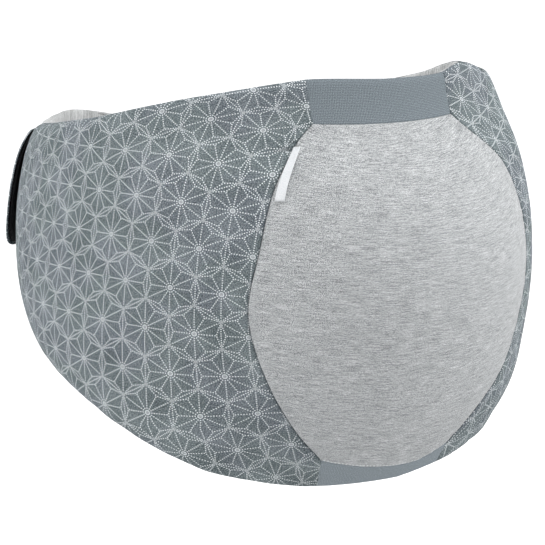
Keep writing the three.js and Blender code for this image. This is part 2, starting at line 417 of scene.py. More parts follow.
def through_three(x, y, key):
    """A smooth curve through three points, straight outside them. x and y have three numbers or arrays."""
    x0, x1, x2 = x
    y0, y1, y2 = y
    s01 = (y1 - y0) / (x1 - x0)
    s12 = (y2 - y1) / (x2 - x1)
    bend = (s12 - s01) / (x2 - x0)
    k = np.clip(key, x0, x2)
    inside = y0 + s01 * (k - x0) + bend * (k - x0) * (k - x1)
    slope = s01 + bend * (2 * k - x0 - x1)
    return inside + slope * (key - k)


def right_print_place(angle, height):
    """Column and row of the print on the right side. The row is found in a few rounds."""
    arc = arc_length(angle, height)
    rows = np.linspace(PRINT.rows[0, 0], PRINT.rows[-1, 0], PRINT_STEPS)
    tables = {name: PRINT.at(name, rows) for name in PRINT.columns[1:]}
    middle = tables["high_middle"]
    row = np.interp(-height, -middle, rows)

    def on_columns(kind):
        return [np.interp(row, rows, tables[kind + place]) for place in ("side", "middle", "seam")]

    for _ in range(PRINT_ROUNDS):
        arcs = on_columns("arc_")
        column = through_three(arcs, PRINT_COLUMNS, arc)
        held = np.clip(column, PRINT_COLUMNS[0], PRINT_LAST_COLUMN)
        here = through_three(PRINT_COLUMNS, on_columns("high_"), held)
        step = np.interp(row + 0.5, rows, middle) - np.interp(row - 0.5, rows, middle)
        row = np.clip(row + (height - here) / step, rows[0], rows[-1])
    straight = PRINT_COLUMNS[0] + (arc - arcs[0].max()) / BACK_COLUMN_PITCH
    return lerp(column, straight, smooth_step(-arc, *BACK_STRAIGHTENS)), row


def left_print_place(angle, height):
    """Column and row of the print on the left side."""
    arc = arc_length(angle, height)
    run = LEFT_SLANT_RUN
    ahead = np.where(arc > run, arc - run / 2, np.clip(arc, 0, run) ** 2 / (2 * run))
    slant = LEFT_SLANT * smooth_step(arc, 0, run)
    widened = 1 / BACK_COLUMN_PITCH - 1 / LEFT_COLUMN_PITCH
    leaning = slant * (height - LEFT_SLANT_HEIGHT) / LEFT_COLUMN_PITCH
    column = arc / BACK_COLUMN_PITCH - widened * ahead + leaning
    row = (LEFT_SLANT * ahead - height) / LEFT_ROW_PITCH
    return column + LEFT_FIRST_COLUMN, row + LEFT_FIRST_ROW


RIGHT.print_place = right_print_place
LEFT.print_place = left_print_place

# Meshes


def placed(name, data):
    """A new object in the scene."""
    thing = bpy.data.objects.new(name, data)
    bpy.context.scene.collection.objects.link(thing)
    return thing


def quads(a, b, c, d):
    return np.stack([a, b, c, d], -1).reshape(-1, 4)


def grid_quads(at):
    return quads(at[:-1, :-1], at[:-1, 1:], at[1:, 1:], at[1:, :-1])


def shell(name, outer, inner, maps):
    """A closed cloth shell between two grids of points in millimetres. Rows rise, columns follow the angle,
    and maps names UV layers, each with a value for every grid point."""
    rows, columns = outer.shape[:2]
    layer = rows * columns
    at = np.arange(layer).reshape(rows, columns)
    front = grid_quads(at)
    back = front[:, [0, 3, 2, 1]] + layer
    foot = quads(at[0, :-1] + layer, at[0, 1:] + layer, at[0, 1:], at[0, :-1])
    head = quads(at[-1, :-1], at[-1, 1:], at[-1, 1:] + layer, at[-1, :-1] + layer)
    left = quads(at[:-1, 0] + layer, at[:-1, 0], at[1:, 0], at[1:, 0] + layer)
    right = quads(at[:-1, -1], at[:-1, -1] + layer, at[1:, -1] + layer, at[1:, -1])
    faces = np.vstack([front, back, foot, head, left, right])
    points = np.vstack([outer.reshape(-1, 3), inner.reshape(-1, 3)]) * MM
    mesh = bpy.data.meshes.new(name)
    mesh.from_pydata(points.tolist(), [], faces.tolist())
    mesh.polygons.foreach_set("use_smooth", np.ones(len(faces), bool))
    corner = np.empty(len(mesh.loops), int)
    mesh.loops.foreach_get("vertex_index", corner)
    for map_name, (u, v) in maps.items():
        values = np.stack([u.ravel(), v.ravel()], -1)
        values = np.vstack([values, values])[corner]
        mesh.uv_layers.new(name=map_name).data.foreach_set("uv", values.ravel())
    mesh.validate()
    mesh.update()
    piece = placed(name, mesh)
    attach(piece, "root")
    return piece


def finish_piece(piece, node, material):
    piece.data.materials.append(material)
    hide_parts(node)


# Shaders


class Shader:
    """A material whose colour, roughness and bump are built from small node steps."""

    SHEEN_ROUGHNESS = 0.5
    MIX_A = 6
    MIX_B = 7
    MIX_RESULT = 2

    def __init__(self, name, roughness, sheen=0.0, specular=0.2):
        self.material = bpy.data.materials.new(name)
        self.material.use_nodes = True
        self.tree = self.material.node_tree
        self.surface = self.tree.nodes["Principled BSDF"]
        self.fill(self.surface, {"Roughness": roughness, "Specular IOR Level": specular})
        self.fill(self.surface, {"Sheen Weight": sheen, "Sheen Roughness": self.SHEEN_ROUGHNESS})

    def join(self, value, socket):
        if isinstance(value, bpy.types.NodeSocket):
            self.tree.links.new(value, socket)
        else:
            socket.default_value = value

    def fill(self, node, values):
        """Joins or sets a node's sockets by their names."""
        for name, value in values.items():
            self.join(value, node.inputs[name])
        return node

    def node(self, kind, *values, **settings):
        made = self.tree.nodes.new(kind)
        for name, value in settings.items():
            setattr(made, name, value)
        for socket, value in zip(made.inputs, values):
            self.join(value, socket)
        return made

    def math(self, operation, *values):
        return self.node("ShaderNodeMath", *values, operation=operation).outputs[0]

    def vector(self, operation, *values):
        made = self.node("ShaderNodeVectorMath", *values, operation=operation)
        return made.outputs["Value" if operation == "LENGTH" else "Vector"]

    def uv(self, name):
        return self.node("ShaderNodeUVMap", uv_map=name).outputs[0]

    def split(self, vector):
        made = self.node("ShaderNodeSeparateXYZ", vector)
        return made.outputs[0], made.outputs[1]

    def scaled(self, vector, u, v):
        return self.vector("MULTIPLY", vector, (u, v, 1.0))

    def times(self, a, b):
        return self.math("MULTIPLY", a, b)

    def blend(self, *terms):
        """The sum of values, each with its weight."""
        parts = [self.times(value, weight) for value, weight in terms]
        total = parts[0]
        for part in parts[1:]:
            total = self.math("ADD", total, part)
        return total

    def wave(self, value, pitch):
        return self.math("SINE", self.times(value, 2 * math.pi / pitch))

    def noise(self, vector, scale, detail=2.0, roughness=0.5):
        made = self.node("ShaderNodeTexNoise", noise_dimensions="2D")
        self.fill(made, {"Vector": vector, "Scale": scale, "Detail": detail, "Roughness": roughness})
        return made.outputs[0]

    def fall(self, value, low, high):
        """1 up to low, 0 from high on."""
        made = self.node("ShaderNodeMapRange", interpolation_type="SMOOTHSTEP")
        self.fill(made, {"Value": value, "From Min": low, "From Max": high, "To Min": 1.0, "To Max": 0.0})
        return made.outputs[0]

    def ramp(self, value, *stops):
        made = self.node("ShaderNodeValToRGB", value)
        elements = made.color_ramp.elements
        while len(elements) < len(stops):
            elements.new(0.5)
        for element, (place, colour) in zip(elements, stops):
            element.position = place
            element.color = linear(colour)
        return made.outputs[0]

    def mix(self, share, a, b):
        made = self.node("ShaderNodeMix", data_type="RGBA")
        self.fill(made, {"Factor": share})
        self.join(a, made.inputs[self.MIX_A])
        self.join(b, made.inputs[self.MIX_B])
        return made.outputs[self.MIX_RESULT]

    def finish(self, colour, height, depth):
        bump = self.node("ShaderNodeBump")
        self.fill(bump, {"Height": height, "Distance": depth, "Strength": 1.0})
        self.fill(self.surface, {"Base Color": colour, "Normal": bump.outputs[0]})
        return self.material


def linear(colour):
    """A colour in 0 to 255 as the renderer's linear values."""
    share = [c / 255 for c in colour]
    return tuple(c / 12.92 if c < 0.04045 else ((c + 0.055) / 1.055) ** 2.4 for c in share) + (1.0,)


# Star print: lines of running stitches on a triangular repeat, in units of the spoke's length
COS30 = 3**0.5 / 2
SIN30 = 0.5
ROW_PITCH = 1.5
KITE_HALF = 0.15
RAY_TIP = COS30 - KITE_HALF
RAY_TIP_SOFT = 0.01
STITCH_HALF_WIDTH = 0.0195
STITCH_SOFT = 0.006
STITCH_FULL = 0.13
STITCH_GONE = 0.28
SPOKE_STITCHES = 10
KITE_STITCHES = 6
FIRST_STITCH = 0.07
FIRST_KITE_STITCH = 0.04
FIRST_MIDDLE_STITCH = 0.08
STAR_MIDDLE = (0.03, 0.1)
MIDDLE_SHARE = 0.3
LEAF_POINT = (0.03, 0.17)
LEAF_FADE = 0.6


def from_nearest_star(s):
    """A point's place from the middle of the nearest star, from the print's column and row."""
    place = s.scaled(s.uv("print"), COS30, ROW_PITCH)
    half = (COS30, ROW_PITCH, 0.0)
    back = tuple(-x for x in half)
    one = s.vector("WRAP", place, half, back)
    two = s.vector("WRAP", s.vector("SUBTRACT", place, half), half, back)
    first = s.math("LESS_THAN", s.vector("LENGTH", one), s.vector("LENGTH", two))
    step = s.node("ShaderNodeVectorMath", s.vector("SUBTRACT", one, two), operation="SCALE")
    s.fill(step, {"Scale": first})
    return s.vector("ADD", two, step.outputs[0])


def turned(s, along, aside, cosine, sine):
    """A place along and beside a line at an angle to the first one."""
    along_line = s.math("ADD", s.times(along, cosine), s.times(aside, sine))
    aside_line = s.math("SUBTRACT", s.times(along, sine), s.times(aside, cosine))
    return along_line, aside_line


def stitched(s, along, aside, first, span, stitches):
    """Running stitches on a line: so many to a span, counted from the middle of the first."""
    narrow, wide = STITCH_HALF_WIDTH - STITCH_SOFT, STITCH_HALF_WIDTH + STITCH_SOFT
    width = s.fall(s.math("ABSOLUTE", aside), narrow, wide)
    count = s.times(s.math("SUBTRACT", along, first), stitches / span)
    phase = s.math("FRACT", s.math("ADD", count, 0.5))
    from_stitch = s.math("ABSOLUTE", s.math("SUBTRACT", phase, 0.5))
    return s.times(width, s.fall(from_stitch, STITCH_FULL, STITCH_GONE))


def star_lines(s):
    """Share of printed stitch at a point: spokes to the leaf points, rays between them, and the sides and
    middle lines of the kites. Lines fade where they meet."""
    cell = from_nearest_star(s)
    x, y = s.split(cell)
    radius = s.vector("LENGTH", cell)
    twelfth = math.radians(30)
    turn = s.math("SUBTRACT", s.math("ARCTAN2", y, x), twelfth)
    sector = s.math("ABSOLUTE", s.math("WRAP", turn, twelfth, -twelfth))
    along = s.times(radius, s.math("COSINE", sector))
    aside = s.times(radius, s.math("SINE", sector))
    ray_along, ray_aside = turned(s, along, aside, COS30, SIN30)
    past_middle = s.math("SUBTRACT", ray_along, COS30)
    past_leaf = s.math("SUBTRACT", along, 1.0)
    kite_side = Vector((RAY_TIP * COS30 - 1, RAY_TIP * SIN30))
    kite_along, kite_aside = turned(s, past_leaf, aside, *kite_side.normalized())

    span = 1 - 2 * FIRST_STITCH
    spoke = stitched(s, along, aside, FIRST_STITCH, span, SPOKE_STITCHES)
    ray = stitched(s, ray_along, ray_aside, FIRST_STITCH, span, SPOKE_STITCHES)
    ray = s.times(ray, s.fall(ray_along, RAY_TIP - RAY_TIP_SOFT, RAY_TIP + RAY_TIP_SOFT))
    kite = stitched(s, kite_along, kite_aside, FIRST_KITE_STITCH, kite_side.length, KITE_STITCHES)
    middle = stitched(s, ray_aside, past_middle, FIRST_MIDDLE_STITCH, SIN30, KITE_STITCHES)
    lines = s.math("MAXIMUM", s.math("MAXIMUM", spoke, ray), s.math("MAXIMUM", kite, middle))

    dot = s.fall(radius, *STAR_MIDDLE)
    off_middle = s.math("SUBTRACT", 1.0, s.times(dot, 1 - MIDDLE_SHARE))
    squares = s.math("ADD", s.math("POWER", past_leaf, 2.0), s.math("POWER", aside, 2.0))
    at_leaf = s.fall(s.math("SQRT", squares), *LEAF_POINT)
    off_leaf = s.math("SUBTRACT", 1.0, s.times(at_leaf, LEAF_FADE))
    lines = s.times(lines, s.times(off_middle, off_leaf))
    return s.math("MAXIMUM", lines, s.times(dot, MIDDLE_SHARE))


# Materials: UV, thread pitches and bump depths are in metres, noise scales in cells to a metre
PRINT_THREAD = 0.7 * MM
# Colour of the painted shade in creases, mixed into the print by the 'shade' map
PAINTED_CREASE_SHADE = (40, 45, 50)
JERSEY_WALE = 0.9 * MM
JERSEY_COURSE = 0.7 * MM
WALE_LEAN = 0.35 * MM
OVERLOCK_PITCH = 2.6 * MM
OVERLOCK_DEPTH = 0.8 * MM
OVERLOCK_COLOUR = (216, 219, 221)
ELASTIC_DOT = 2.2 * MM
ELASTIC_TONES = (70, 79, 85), (116, 125, 131), (160, 169, 174)
HOOK_PITCH = (2.0 * MM, 1.6 * MM)
LABEL_THREAD = (0.5 * MM, 0.4 * MM)


def weave(s, uv, pitch_u, pitch_v):
    """A plain weave's threads as a height from -1 to 1."""
    u, v = s.split(uv)
    return s.times(s.wave(u, pitch_u), s.wave(v, pitch_v))


def printed_cloth():
    s = Shader("printed_cloth", roughness=0.95, specular=0.1)
    uv = s.uv("cloth")
    lines = star_lines(s)
    speckle = s.noise(uv, scale=1350, roughness=0.7)
    cloud = s.noise(uv, scale=45)
    tone = s.blend((speckle, 0.85), (cloud, 0.15))
    cool = s.ramp(tone, (0.3, (43, 51, 57)), (0.5, (105, 113, 119)), (0.7, (167, 175, 180)))
    warm = s.ramp(tone, (0.3, (43, 53, 56)), (0.5, (105, 115, 118)), (0.7, (167, 177, 179)))
    ground = s.mix(s.fall(s.noise(uv, scale=24, detail=1), 0.42, 0.58), cool, warm)
    thread = s.ramp(speckle, (0.3, (234, 241, 245)), (0.7, (250, 253, 255)))
    colour = s.mix(lines, ground, thread)
    shade, _ = s.split(s.uv("shade"))
    # Painted shade: the print is darkened towards a dark grey along the belly seam and in the hollows of
    # the label's folds
    colour = s.mix(shade, colour, linear(PAINTED_CREASE_SHADE))
    height = s.blend((weave(s, uv, PRINT_THREAD, PRINT_THREAD), 0.35), (speckle, 1.0), (lines, 0.8))
    return s.finish(colour, height, depth=0.18 * MM)


def heather_jersey():
    s = Shader("heather_jersey", roughness=0.92, sheen=0.2)
    uv = s.uv("cloth")
    streak, yarn, fleck = (
        s.noise(s.scaled(uv, *cells), scale=1, detail=1, roughness=0.6)
        for cells in ((100, 1500), (450, 2300), (1800, 2300))
    )
    cloud = s.noise(s.scaled(uv, 40, 160), scale=1)
    tone = s.blend((streak, 0.21), (yarn, 0.2), (fleck, 0.53), (cloud, 0.06))
    colour = s.ramp(tone, (0.36, (94, 96, 98)), (0.5, (166, 169, 171)), (0.64, (223, 225, 226)))
    u, v = s.split(uv)
    tooth = s.math("ADD", s.wave(u, OVERLOCK_PITCH), 1.0)
    overlock = s.math("LESS_THAN", v, s.times(tooth, OVERLOCK_DEPTH))
    colour = s.mix(overlock, colour, linear(OVERLOCK_COLOUR))
    wale = s.wave(u, JERSEY_WALE)
    lean = s.times(s.math("ABSOLUTE", wale), WALE_LEAN)
    course = s.wave(s.math("ADD", v, lean), JERSEY_COURSE)
    height = s.blend((wale, 0.25), (course, 0.25), (fleck, 1.0), (yarn, 1.0))
    return s.finish(colour, height, depth=0.08 * MM)


def woven_elastic(name, light):
    """Webbing with a lattice of small raised dots. light is added to each of its tones."""
    s = Shader(name, roughness=0.9, specular=0.1)
    uv = s.uv("cloth")
    u, v = s.split(uv)
    rising = s.wave(s.math("ADD", u, v), ELASTIC_DOT)
    falling = s.wave(s.math("SUBTRACT", u, v), ELASTIC_DOT)
    dots = s.times(rising, falling)
    speckle = s.noise(uv, scale=1900, roughness=0.7)
    tone = s.blend((dots, 0.14), (speckle, 1.0))
    dark, mid, pale = (tuple(c + light for c in rgb) for rgb in ELASTIC_TONES)
    colour = s.ramp(tone, (0.2, dark), (0.5, mid), (0.8, pale))
    height = s.blend((dots, 1.0), (speckle, 0.5))
    return s.finish(colour, height, depth=0.12 * MM)


def brushed_lining():
    s = Shader("brushed_lining", roughness=0.97, sheen=0.4)
    uv = s.uv("cloth")
    streak = s.noise(s.scaled(uv, 900, 90), scale=1, detail=3, roughness=0.6)
    tuft = s.noise(uv, scale=900, detail=3, roughness=0.7)
    cloud = s.noise(uv, scale=60, detail=3)
    tone = s.blend((streak, 0.45), (tuft, 0.35), (cloud, 0.2))
    colour = s.ramp(tone, (0.36, (146, 148, 148)), (0.5, (194, 196, 196)), (0.64, (232, 233, 233)))
    height = s.blend((tuft, 1.0), (streak, 1.0), (cloud, 0.6))
    return s.finish(colour, height, depth=0.6 * MM)


def hook_tape_cloth():
    s = Shader("hook_tape", roughness=0.75)
    uv = s.uv("cloth")
    rows = weave(s, uv, *HOOK_PITCH)
    speckle = s.noise(uv, scale=1200)
    tone = s.blend((rows, 0.2), (speckle, 1.0))
    colour = s.ramp(tone, (0.3, (6, 7, 8)), (0.7, (22, 23, 26)))
    return s.finish(colour, s.math("ADD", rows, speckle), depth=0.4 * MM)


def label_tape():
    s = Shader("label_tape", roughness=0.55, sheen=0.1, specular=0.35)
    uv = s.uv("cloth")
    threads = weave(s, uv, *LABEL_THREAD)
    speckle = s.noise(uv, scale=1500)
    tone = s.blend((threads, 0.15), (speckle, 1.0))
    colour = s.ramp(tone, (0.3, (224, 228, 232)), (0.7, (242, 244, 246)))
    return s.finish(colour, threads, depth=0.08 * MM)


PRINTED = printed_cloth()
HEATHER = heather_jersey()
TOP_ELASTIC = woven_elastic("top_elastic", light=0)
BOTTOM_ELASTIC = woven_elastic("bottom_elastic", light=18)
LINING = brushed_lining()
HOOKS = hook_tape_cloth()
LABEL = label_tape()

# Front: belly panel and elastic bands


def hem(across):
    right = RIGHT.edges.at("bottom", -across * RIGHT.bottom_band)
    return np.where(across < 0, right, LEFT.edges.at("bottom", across * LEFT.bottom_band))


def rim(across):
    right = RIGHT.edges.at("top", -across * RIGHT.top_band)
    return np.where(across < 0, right, LEFT.edges.at("top", across * LEFT.top_band))


def bottom_seam(across):
    return BOTTOM_BAND_HEAD - BOTTOM_BAND_DIP * (1 - across**2)


def top_seam(across):
    straight = lerp(RIGHT.top_band_foot, LEFT.top_band_foot, (across + 1) / 2)
    return straight - TOP_BAND_DIP * (1 - across**2)


def front_piece(name, columns, rows, foot, head, edge_angle, cloth, turned_edge=None):
    """A cloth across the front, with its sides and its foot and head sunk into the seams. turned_edge names
    the one, foot or head, that is the belt's own edge and is turned under."""
    share, across = np.meshgrid(eased(rows, ends=0.8), 2 * eased(columns, ends=0.7) - 1, indexing="ij")
    halves = []
    for side in (RIGHT, LEFT):
        edge = np.array(float(side.sign))
        edge_height = lerp(foot(edge), head(edge), share)
        edge_turn = edge_angle(side, edge_height)
        halves.append(edge_turn - degrees_for(SEAM_GAP / 2, edge_turn, edge_height))
    half = np.where(across < 0, *halves)
    angle = half * across
    height = lerp(foot(across), head(across), share)
    per_degree = 1 / degrees_for(1.0, angle, height)
    from_side = (half - np.abs(angle)) * per_degree
    ends = {"foot": height - foot(across), "head": head(across) - height}
    from_end = np.minimum(ends["foot"], ends["head"])
    side_drop = cloth.side_sink * edge_drop(from_side, SEAM_RADIUS)
    end_drop = cloth.end_sink * edge_drop(from_end, SEAM_RADIUS)
    if turned_edge:
        end_drop = np.maximum(end_drop, TURN_UNDER * edge_drop(ends[turned_edge], TURN_RADIUS))
    u = angle * FRONT_PER_DEGREE
    waves = puckers(FRONT_SIDE_PUCKER, from_side, height) + puckers(FRONT_END_PUCKER, from_end, u)
    outer = cloth.proud - np.maximum(side_drop, end_drop) + cloth.pucker * waves
    inner = np.minimum(cloth.proud - cloth.thickness, outer - FRONT_PLY)
    steps = np.vstack([np.zeros((1, columns + 1)), np.diff(height, axis=0) * FRONT_SLOPE])
    maps = {"cloth": (u * MM, np.cumsum(steps, axis=0) * MM)}
    return shell(name, belt(angle, height, outer), belt(angle, height, inner), maps)


belly = front_piece(
    "belly_jersey",
    columns=150, rows=150,
    foot=lambda across: bottom_seam(across) + SEAM_GAP / 2,
    head=lambda across: top_seam(across) - SEAM_GAP / 2,
    edge_angle=seam_angle,
    cloth=JERSEY,
)
finish_piece(belly, "belly_panel", HEATHER)
top_band = front_piece(
    "top_elastic",
    columns=100, rows=30,
    foot=lambda across: top_seam(across) + SEAM_GAP / 2,
    head=rim,
    edge_angle=top_band_angle,
    cloth=ELASTIC,
    turned_edge="head",
)
finish_piece(top_band, "top_band", TOP_ELASTIC)
bottom_band = front_piece(
    "bottom_elastic",
    columns=100, rows=24,
    foot=hem,
    head=lambda across: bottom_seam(across) - SEAM_GAP / 2,
    edge_angle=bottom_band_angle,
    cloth=ELASTIC,
    turned_edge="foot",
)
finish_piece(bottom_band, "bottom_band", BOTTOM_ELASTIC)

# Sides: printed cloth outside, padded lining inside


class SideGrid:
    """Angles and heights over one cloth of a side, with the distances to its edges in millimetres."""

    def __init__(self, cut, columns, rows):
        side, edges = cut.side, cut.side.edges
        foot, head = edges.at("bottom", side.bottom_band), edges.at("top", side.top_band)
        edge_height = lerp(foot, head, eased(rows, ends=0.8))
        edge_angle = front_angle(side, edge_height)
        edge_low, edge_high = edges.at("bottom", edge_angle), edges.at("top", edge_angle)
        row_share = np.clip((edge_height - edge_low) / (edge_high - edge_low), 0, 1)
        near = edge_angle + degrees_for(SEAM_GAP / 2, edge_angle, edge_height)
        far = cut.end(row_share)
        k = eased(columns, ends=0.6)[:: side.sign]
        self.side = side
        self.size = near[:, None] + (far - near)[:, None] * k[None, :]
        self.angle = side.sign * self.size
        bottom = edges.at("bottom", self.size)
        top = edges.at("top", self.size) + cut.rim_shift(self.size)
        self.height = lerp(bottom, top, row_share[:, None])
        per_degree = 1 / degrees_for(1.0, self.angle, self.height)
        self.from_front = (self.size - near[:, None]) * per_degree
        self.from_end = (far[:, None] - self.size) * per_degree
        self.from_foot = self.height - bottom
        self.from_head = top - self.height
        at_belly = (edge_height > BOTTOM_BAND_HEAD) & (edge_height < side.top_band_foot)
        self.at_belly = at_belly[:, None]
        self.swell = 0 * self.size

    def points(self, out):
        return belt(self.angle, self.height, out)

    def from_edge(self):
        return np.minimum.reduce([self.from_front, self.from_foot, self.from_head, self.from_end])

    def padding(self):
        """Depth from the cloth line to the lining's face."""
        return filling(self.angle, self.height) + lift(self.angle, self.height) + LINING_INSIDE_TORSO

    def label_folds(self):
        """Short folds in the right side's cloth, where the label's head is sewn into the seam."""
        place = (self.height - LABEL_FOLDS.height) / LABEL_FOLDS.pitch
        fold = np.cos(np.pi * place) * np.exp(-(place**2)) * np.exp(-self.from_front / LABEL_FOLDS.reach)
        return (LABEL_FOLDS.depth if self.side is RIGHT else 0) * fold

    def lean_in(self):
        """How far the left rim leans towards the body before it reaches the side line."""
        below = np.clip(1 - self.from_head / RIM_LEAN.drop, 0, 1) ** RIM_LEAN.power
        near = bell(self.size, RIM_LEAN.angle, RIM_LEAN.reach) * below
        return (RIM_LEAN.depth if self.side is LEFT else 0) * near

    def shade(self):
        """Where the cloth lies in the shadow of its own creases."""
        seam = bell(self.from_front, 0, SEAM_SHADE_REACH) * self.at_belly
        hollow = np.minimum(self.label_folds(), 0)
        return np.clip(SEAM_SHADE * seam - FOLD_SHADE * hollow, 0, MOST_SHADE)

    def cloth_out(self):
        """Outside of the printed cloth from the cloth line: seam sunk in, rim and hem turned under."""
        from_hem = np.minimum(self.from_foot, self.from_head)
        seam = SEAM_SINK * edge_drop(self.from_front, SEAM_RADIUS) * self.at_belly
        turn = TURN_UNDER * edge_drop(from_hem, TURN_RADIUS)
        end = END_SINK * edge_drop(self.from_end, END_RADIUS)
        arc = arc_length(self.angle, self.height)
        tuck = SEAM_PUCKER.depth * puckers(SEAM_PUCKER, self.from_front, self.height)
        tuck = tuck + RIM_PUCKER.depth * puckers(RIM_PUCKER, from_hem, arc)
        return tuck + self.swell + self.label_folds() - self.lean_in() - (seam + turn + end)

    def cloth_maps(self):
        column, row = self.side.print_place(self.angle, self.height)
        arc = arc_length(self.angle, self.height)
        return {
            "cloth": (arc * MM, self.height * SIDE_SLOPE * MM),
            "print": (column, -row),
            "shade": (self.shade(), 0 * arc),
        }


def straight_end(side):
    """An upright end at the back of a side, as a function of the share of its height."""
    return lambda share: side.end + 0 * share


def tab_end(share):
    """The end of the tab, with its rounded corners."""
    height = LEFT.edges.at("top", TAB_END) - LEFT.edges.at("bottom", TAB_END)
    to_corner = np.minimum(share, 1 - share) * height
    inside = np.clip(TAB_CORNER_RADIUS - to_corner, 0, None)
    cut = TAB_CORNER_RADIUS - np.sqrt(TAB_CORNER_RADIUS**2 - inside**2)
    return TAB_END - degrees_for(cut, np.array(float(TAB_END)), np.array(0.0))


def rim_level(size):
    return 0 * size


def rim_low_at_back(size):
    """The right cloth's rim, which the lining rolls over towards the back."""
    return -RIM_LOW.depth * smooth_step(size, RIM_LOW.start, RIM_LOW.full)


def rim_puffed(size):
    """The left rim, which dips a little before the side and stands up at it."""
    return sum(form.rise * bell(size, form.angle, form.reach) for form in (RIM_PUFF, RIM_DIP))


RIGHT_PRINT = SimpleNamespace(side=RIGHT, end=straight_end(RIGHT), rim_shift=rim_low_at_back)
LEFT_PRINT = SimpleNamespace(side=LEFT, end=tab_end, rim_shift=rim_puffed)
RIGHT_LINING = SimpleNamespace(side=RIGHT, end=straight_end(RIGHT), rim_shift=rim_level)
LEFT_LINING = SimpleNamespace(side=LEFT, end=straight_end(LEFT), rim_shift=rim_puffed)

# Cloth simulation: cloths with a little fullness, sewn fast along their edges and pressed by the filling
SEWN_COLUMNS = 76
SEWN_ROWS = 48
SEWN_FRAMES = 20
SEWN_QUALITY = 6
FILLING_PRESSURE = 4.0
CLOTH_MASS = 0.02
SMOOTHINGS = 3

# Which way a sewn cloth faces, its fullness, and the least and most that it may move, in millimetres
PRINT_SEWN = SimpleNamespace(facing=1, fullness=0.005, least=-0.4, most=0.9)
LINING_SEWN = SimpleNamespace(facing=-1, fullness=0.012, least=-1.5, most=2.0)


def sewn_fast(points, normals, fullness):
    """How far each point of a sewn cloth moves along its normal, in millimetres."""
    rows, columns = points.shape[:2]
    at = np.arange(rows * columns).reshape(rows, columns)
    mesh = bpy.data.meshes.new("sewn_cloth")
    mesh.from_pydata((points * MM).reshape(-1, 3).tolist(), [], grid_quads(at).tolist())
    mesh.update()
    piece = placed("sewn_cloth", mesh)
    edge = np.concatenate([at[0], at[-1], at[1:-1, 0], at[1:-1, -1]])
    piece.vertex_groups.new(name="sewn").add(edge.tolist(), 1.0, "REPLACE")
    cloth = piece.modifiers.new("cloth", "CLOTH")
    cloth.settings.quality = SEWN_QUALITY
    cloth.settings.mass = CLOTH_MASS
    cloth.settings.vertex_group_mass = "sewn"
    cloth.settings.shrink_min = -fullness
    cloth.settings.use_pressure = True
    cloth.settings.uniform_pressure_force = FILLING_PRESSURE
    cloth.settings.effector_weights.gravity = 0
    cloth.point_cache.frame_start = 1
    cloth.point_cache.frame_end = SEWN_FRAMES
    scene = bpy.context.scene
    for step in range(1, SEWN_FRAMES + 1):
        scene.frame_set(step)
    moved = np.empty(rows * columns * 3)
    graph = bpy.context.evaluated_depsgraph_get()
    piece.evaluated_get(graph).data.vertices.foreach_get("co", moved)
    bpy.data.objects.remove(piece)
    bpy.data.meshes.remove(mesh)
    scene.frame_set(1)
    return ((moved.reshape(points.shape) / MM - points) * normals).sum(-1)


def refined(values, shape):
    """A coarse grid's values on a finer grid over the same cloth, smoothed between its points."""
    for axis in (0, 1):
        coarse = np.linspace(0, 1, values.shape[axis])
        fine = np.linspace(0, 1, shape[axis])
        values = np.apply_along_axis(lambda line: np.interp(fine, coarse, line), axis, values)
        for _ in range(SMOOTHINGS):
            lines = np.pad(np.moveaxis(values, axis, 0), ((1, 1), (0, 0)), mode="edge")
            values = np.moveaxis((lines[:-2] + 2 * lines[1:-1] + lines[2:]) / 4, 0, axis)
    return values


def simulated_swell(cut, sewn, shape):
    """Swell and puckers of a side's cloth on a finer grid, capped so that it stays off its neighbours."""
    grid = SideGrid(cut, SEWN_COLUMNS, SEWN_ROWS)
    out = 0 * grid.size if sewn.facing > 0 else -grid.padding()
    faced = (slice(None), slice(None, None, sewn.facing))
    normals = sewn.facing * outward(grid.angle, grid.height)
    moved = sewn_fast(grid.points(out)[faced], normals[faced], sewn.fullness)[faced]
    return refined(np.clip(moved, sewn.least, sewn.most), shape)


def side_cloth(name, cut, columns, rows):
    grid = SideGrid(cut, columns, rows)
    grid.swell = simulated_swell(cut, PRINT_SEWN, grid.size.shape)
    outer = grid.cloth_out()
    inner = outer - np.where(grid.from_edge() > EDGE_WIDTH, PRINTED_PLY, EDGE_PLY)
    return shell(name, grid.points(outer), grid.points(inner), grid.cloth_maps())


def rim_roll(grid):
    """How far the lining rises where it rolls over the rim: on the left side, and towards the back."""
    share = np.clip(grid.from_head / LINING_ROLL, 0, 1)
    roll = LINING_ROLL * (share - share**3)
    puff = LINING_PUFF * np.sin(np.pi * share)
    if grid.side is RIGHT:
        return (roll + puff) * smooth_step(grid.size, *ROLL_STARTS_RIGHT)
    return roll + puff * smooth_step(grid.size, *PUFF_STARTS_LEFT)


def side_lining(name, cut, columns, rows):
    grid = SideGrid(cut, columns, rows)
    outer = np.minimum(grid.cloth_out(), 0) - PRINTED_CLOTH - LAYER_GAP
    swell = simulated_swell(cut, LINING_SEWN, grid.size.shape)
    padded = np.minimum(-grid.padding() - swell, outer - LINING_PLY)
    inner = lerp(outer - LINING_EDGE_PLY, padded, 1 - edge_drop(grid.from_edge(), LINING_ROLL))
    face = grid.points(inner)
    face[..., 2] += rim_roll(grid)
    arc = arc_length(grid.angle, grid.height)
    return shell(name, grid.points(outer), face, {"cloth": (arc * MM, grid.height * MM)})


side_right = side_cloth("print_right", RIGHT_PRINT, columns=190, rows=170)
finish_piece(side_right, "side_panel_right", PRINTED)
side_left = side_cloth("print_left", LEFT_PRINT, columns=240, rows=130)
finish_piece(side_left, "side_panel_left", PRINTED)
lining_right = side_lining("pad_right", RIGHT_LINING, columns=120, rows=80)
finish_piece(lining_right, "lining_right", LINING)
lining_left = side_lining("pad_left", LEFT_LINING, columns=120, rows=80)
finish_piece(lining_left, "lining_left", LINING)

# Hook tape under the tab


